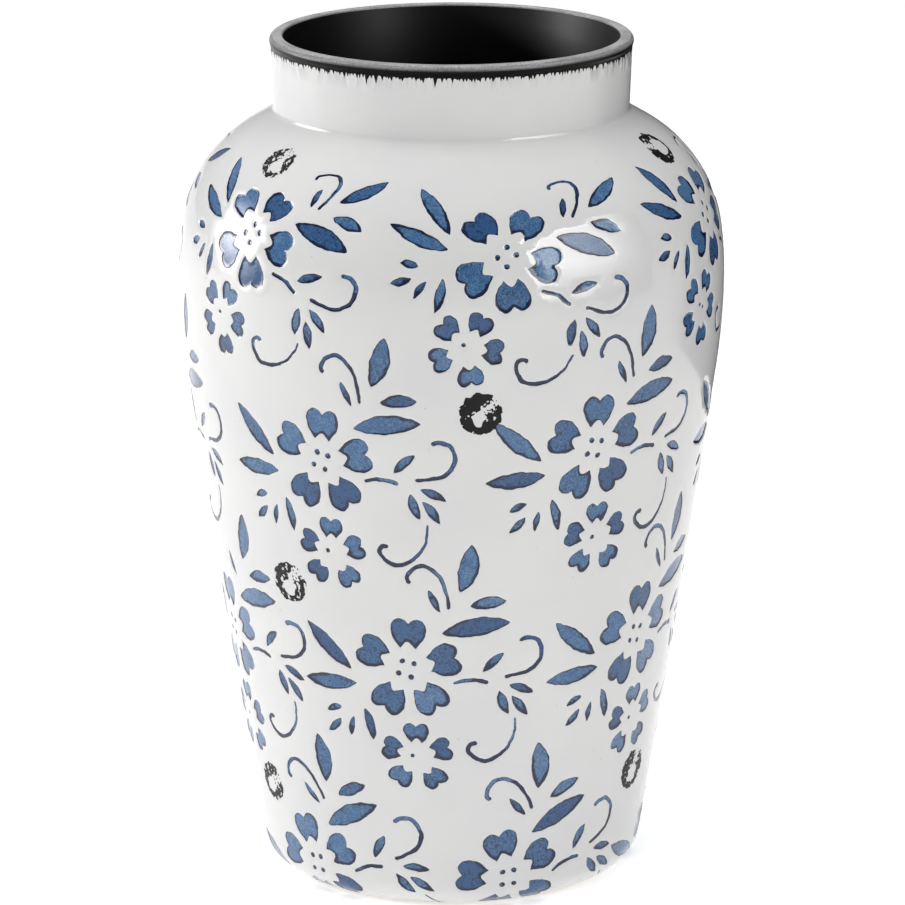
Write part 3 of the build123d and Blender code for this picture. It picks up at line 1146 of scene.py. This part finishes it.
def stamp_field(wear_and_highlight, hole_radius):
    """How much colour a stamp leaves at (x, y): a thick ring, open to the upper right, rubbed away."""
    rim, blotches = ripples(10, 2.4, 7.0), ripples(20, 2.0, 5.0)
    crumbs, flecks = ripples(24, 0.9, 1.8), ripples(24, 1.0, 2.2)
    start, end = (np.array(place) for place in STAMP_GAP)
    gap = end - start

    def field(x, y):
        outer = STAMP_R - 0.2 + 0.25 * rim(x, y) + 0.1 * crumbs(y, x) - np.hypot(x, y)
        hole = np.hypot(x - STAMP_HOLE[0], y - STAMP_HOLE[1]) - hole_radius - 0.35 * rim(y, x)
        along = np.clip(((x - start[0]) * gap[0] + (y - start[1]) * gap[1]) / (gap @ gap), 0, 1)
        aside = np.hypot(x - start[0] - along * gap[0], y - start[1] - along * gap[1])
        beside = aside - 1.0 - 0.7 * along + 0.4 * crumbs(x, y)
        rubbed = 0.8 * blotches(x, y) + 0.5 * crumbs(x, y) + 1.1 * np.exp(-np.maximum(beside, 0) / 1.5)
        kept = 1.75 - 1.7 * wear_and_highlight - rubbed
        solid = np.minimum(np.minimum(outer, hole), np.minimum(beside, 0.5 * kept))
        stray = np.minimum(0.4 * (flecks(x, y) - 1.15), np.minimum(outer, hole))
        return np.maximum(solid, stray)

    return field


def cut_at_zero(points, faces, values):
    """The part of a triangle mesh where the values are above zero, cut straight across its triangles.

    Gives the points, the faces, and 1 for each point on the cut and 0 for the others."""
    kept, numbers, cuts, new_faces = [], {}, {}, []
    rim = set()

    def corner(i):
        if i not in numbers:
            numbers[i] = len(kept)
            kept.append(points[i])
        return numbers[i]

    def cut(i, j):
        key = (min(i, j), max(i, j))
        if key not in cuts:
            a, b = values[key[0]], values[key[1]]
            cuts[key] = len(kept)
            kept.append(points[key[0]] + (points[key[1]] - points[key[0]]) * a / (a - b))
            rim.add(cuts[key])
        return cuts[key]

    for face in faces:
        held = []
        for i, j in zip(face, np.roll(face, -1)):
            if values[i] > 0:
                held.append(corner(i))
            if (values[i] > 0) != (values[j] > 0):
                held.append(cut(i, j))
        if len(held) > 2:
            new_faces.append(held)
    at_rim = np.zeros(len(kept))
    at_rim[list(rim)] = 1
    return np.array(kept), new_faces, at_rim


def make_stamps(material):
    """Thin worn stamps on the white glaze."""
    side = np.arange(-STAMP_R - STAMP_MARGIN, STAMP_R + STAMP_MARGIN, STAMP_STEP)
    x, y = (grid.ravel() for grid in np.meshgrid(side, side))
    across = len(side)
    corner = (np.arange(across - 1)[:, None] * across + np.arange(across - 1)).ravel()
    lower = np.stack([corner, corner + 1, corner + across], axis=1)
    upper = np.stack([corner + 1, corner + across + 1, corner + across], axis=1)
    squares = np.vstack([lower, upper])
    all_places, all_normals, all_faces, all_uv, tones = [], [], [], [], []
    count = 0
    for number, (angle, s, size, turn, wear_and_highlight, hole_radius) in enumerate(STAMPS):
        field = stamp_field(wear_and_highlight, hole_radius)
        points, faces, rim = cut_at_zero(np.stack([x, y], axis=1), squares, field(x, y))
        theta, height = placed(points * size, angle, s, turn, 0.0)
        depth, right, up = wall_unevenness(theta, height)
        places, normals = stood(OUTSIDE, theta, height, depth - STAMP_HEIGHT * (1 - rim), (right, up))
        all_places.append(places)
        all_normals.append(normals)
        all_faces += [[i + count for i in face] for face in faces]
        cell = np.array([number % STAMPS_ACROSS, number // STAMPS_ACROSS])
        all_uv.append((points / STAMP_CELL + 0.5 + cell) / STAMPS_ACROSS)
        # The tone carries the stamp's wear value, which also paints it lighter as a painted highlight.
        tones.append(np.full(len(points), wear_and_highlight))
        count += len(points)
    places, normals, uv = (np.vstack(column) for column in (all_places, all_normals, all_uv))
    marks = (("tone", np.concatenate(tones)),)
    make_piece("worn_stamps", places, all_faces, normals, uv, material, marks)


def dress_clay(material):
    """Gives the clay nodes their look."""
    for node in ("floor_and_foot", "body_wall", "neck_collar"):
        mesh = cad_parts[node].data
        mesh.materials.clear()
        mesh.materials.append(material)


# ---- Stage, light and camera ----

FLOOR_SIZE = 30.0
FLOOR_GLOW = 0.5  # the floor is lit from below too, as on a light table
LIGHT_HEIGHT = 0.24  # the lights point at this height on the vase's axis
MOUTH_LIGHT_DISTANCE = 1.5
LEAST_FADE = 0.002  # a panel's sharpest edge, as a share of its size
RIM_WIDTH = 0.1  # a bright rim's, as a share of half the panel's size


def rectangle(name, width, height, material):
    """A flat rectangle about its own middle."""
    mesh = bpy.data.meshes.new(name)
    x, y = width / 2, height / 2
    mesh.from_pydata([(-x, -y, 0), (x, -y, 0), (x, y, 0), (-x, y, 0)], [], [(0, 1, 2, 3)])
    mesh.materials.append(material)
    thing = bpy.data.objects.new(name, mesh)
    bpy.context.scene.collection.objects.link(thing)
    return thing


def make_floor():
    """A plain pale floor that the vase stands on."""
    shader = Shader("pale_floor", Base_Color=(0.9, 0.9, 0.9, 1), Emission_Strength=FLOOR_GLOW)
    shader.surface.inputs["Emission Color"].default_value = (1, 1, 1, 1)
    shader.set("Roughness", shader.spread(shader.noise(8, 3), 0.85, 0.95))
    floor = rectangle("floor", FLOOR_SIZE, FLOOR_SIZE, shader.material)
    floor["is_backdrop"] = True


def make_world(strength):
    """Even white surroundings."""
    world = bpy.data.worlds.new("surroundings")
    bpy.context.scene.world = world
    world.use_nodes = True
    background = world.node_tree.nodes["Background"]
    background.inputs["Color"].default_value = (1, 1, 1, 1)
    background.inputs["Strength"].default_value = strength


def from_vase(azimuth, elevation, distance):
    """A place seen from the vase: azimuth 0 is towards the camera and 90 towards +X."""
    a, e = radians(azimuth), radians(elevation)
    return (
        distance * sin(a) * cos(e),
        -distance * cos(a) * cos(e),
        LIGHT_HEIGHT + distance * sin(e),
    )


def aim(thing, place):
    """Puts a light or panel at a place, facing the vase."""
    thing.location = place
    way = np.array((0, 0, LIGHT_HEIGHT)) - np.array(place)
    thing.rotation_euler = (pi / 2 + asin(way[2] / np.linalg.norm(way)), 0, atan2(-way[0], way[1]))


def area_light(name, azimuth, elevation, distance, size, power):
    """A rectangular light that faces the vase, out of the camera's sight."""
    data = bpy.data.lights.new(name, "AREA")
    data.shape = "RECTANGLE"
    data.size, data.size_y = size
    data.energy = power
    light = bpy.data.objects.new(name, data)
    bpy.context.scene.collection.objects.link(light)
    light.visible_camera = False
    aim(light, from_vase(azimuth, elevation, distance))
    return light


def soft_light(*where_and_how_bright):
    """A broad light that brightens surfaces, and that the glaze doesn't mirror."""
    area_light(*where_and_how_bright).visible_glossy = False


def mouth_light(name, azimuth, elevation, size, power, lining):
    """A light that falls in at the mouth and shines on the lining alone."""
    light = area_light(name, azimuth, elevation, MOUTH_LIGHT_DISTANCE, size, power)
    light.light_linking.receiver_collection = bpy.data.collections.new(name)
    light.light_linking.receiver_collection.objects.link(lining)


def mirrored_panel(name, azimuth, elevation, distance, size, strength, fades, rim=0.0):
    """A panel that only shows as a reflection in the glaze.

    fades are the shares of its width and height over which it dims towards its left, right, bottom and top,
    as seen from the vase. rim is how much brighter it is at the very left and top."""
    shader = Shader(name)
    panel = rectangle(name, *size, shader.material)
    x, y = size[0] / 2, size[1] / 2
    across, up, _ = shader.add("ShaderNodeSeparateXYZ", {0: shader.place}).outputs
    glow = 1.0
    for (part, edge), fade in zip(((across, -x), (across, x), (up, -y), (up, y)), fades):
        falling = shader.remap(part, edge, edge - 2 * edge * max(fade, LEAST_FADE))
        glow = shader.product(glow, falling)
    if rim:
        inner = 1 - RIM_WIDTH
        near_left, near_top = shader.remap(across, -x * inner, -x), shader.remap(up, y * inner, y)
        brighter = shader.product(shader.math("ADD", near_left, near_top), rim)
        glow = shader.product(glow, shader.math("ADD", 1.0, brighter))
    emission = shader.add("ShaderNodeEmission", {"Strength": shader.product(glow, strength)})
    out = shader.tree.nodes["Material Output"]
    shader.tree.links.new(emission.outputs[0], out.inputs["Surface"])
    for ray in ("camera", "diffuse", "shadow", "transmission"):
        setattr(panel, f"visible_{ray}", False)
    aim(panel, from_vase(azimuth, elevation, distance))
    panel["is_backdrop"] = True


def dark_card(name, azimuth, elevation, distance, size):
    """A black card, unseen by the camera, that keeps the surroundings' light off one side of the vase.

    It fades out towards its left, and more sharply towards its right."""
    shader = Shader(name, Base_Color=(0.02, 0.02, 0.02, 1), Roughness=0.9)
    x = size[0] / 2
    across = shader.add("ShaderNodeSeparateXYZ", {0: shader.place}).outputs[0]
    from_left, from_right = shader.remap(across, -x, -0.4 * x), shader.remap(across, x, 0.8 * x)
    shader.set("Alpha", shader.product(from_left, from_right))
    card = rectangle(name, *size, shader.material)
    card.visible_camera = False
    card.visible_shadow = False
    aim(card, from_vase(azimuth, elevation, distance))
    card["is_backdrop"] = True


SENSOR = 36  # millimetres
LENS = 205.85
CAMERA_PLACE = (0.00034, -1.7783, 0.6223)
CAMERA_DIP = 0.2602  # how far the camera looks down, in radians


def make_camera():
    """The camera, level across, looking down at the vase from in front."""
    data = bpy.data.cameras.new("camera")
    data.sensor_width = SENSOR
    data.lens = LENS
    camera = bpy.data.objects.new("camera", data)
    bpy.context.scene.collection.objects.link(camera)
    camera.location = CAMERA_PLACE
    camera.rotation_euler = (pi / 2 - CAMERA_DIP, 0, 0)
    bpy.context.scene.camera = camera


def make_stage():
    """The camera, the floor and the light."""
    make_camera()
    make_floor()
    make_world(0.3)
    soft_light("left_light", -102, 15, 1.6, (1.1, 1.4), 13)
    soft_light("right_light", 40, 20, 1.8, (0.8, 1.0), 1.2)
    soft_light("top_light", 10, 82, 1.8, (2.0, 2.0), 34)
    mirrored_panel("left_panel", -101, 8, 1.5, (1.25, 1.1), 15.0, (0.49,) * 4)
    mirrored_panel("right_panel", 65, 11.5, 1.5, (1.45, 1.2), 7.0, (0.0, 0.75, 0.5, 0.0), rim=1.4)
    dark_card("right_card", 140, 5, 0.55, (1.2, 0.9))
    bpy.context.scene.view_settings.view_transform = "Standard"


def make_vase():
    """Every piece of the vase, with its glaze."""
    sheet = Sheet()
    shapes = lay_motifs(sheet)
    lay_plain_wall(sheet, shapes)
    columns, faces, kinds = mesh_outside(sheet)
    places, normals = outside_places(columns)
    make_white_wall(columns, faces[kinds == "white"], places, normals, white_glaze())
    make_blue_motifs(columns, faces[kinds == "blue"], places, normals, shapes, blue_glaze())
    make_lip(columns, faces[kinds == "lip"], places, normals, black_lip_glaze())
    make_lining(black_lining())
    make_stamps(worn_black())
    dress_clay(bare_clay())


make_stage()
make_vase()

visual_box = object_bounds()
[[list(corner) for corner in box] for box in (cad_box, visual_box)]
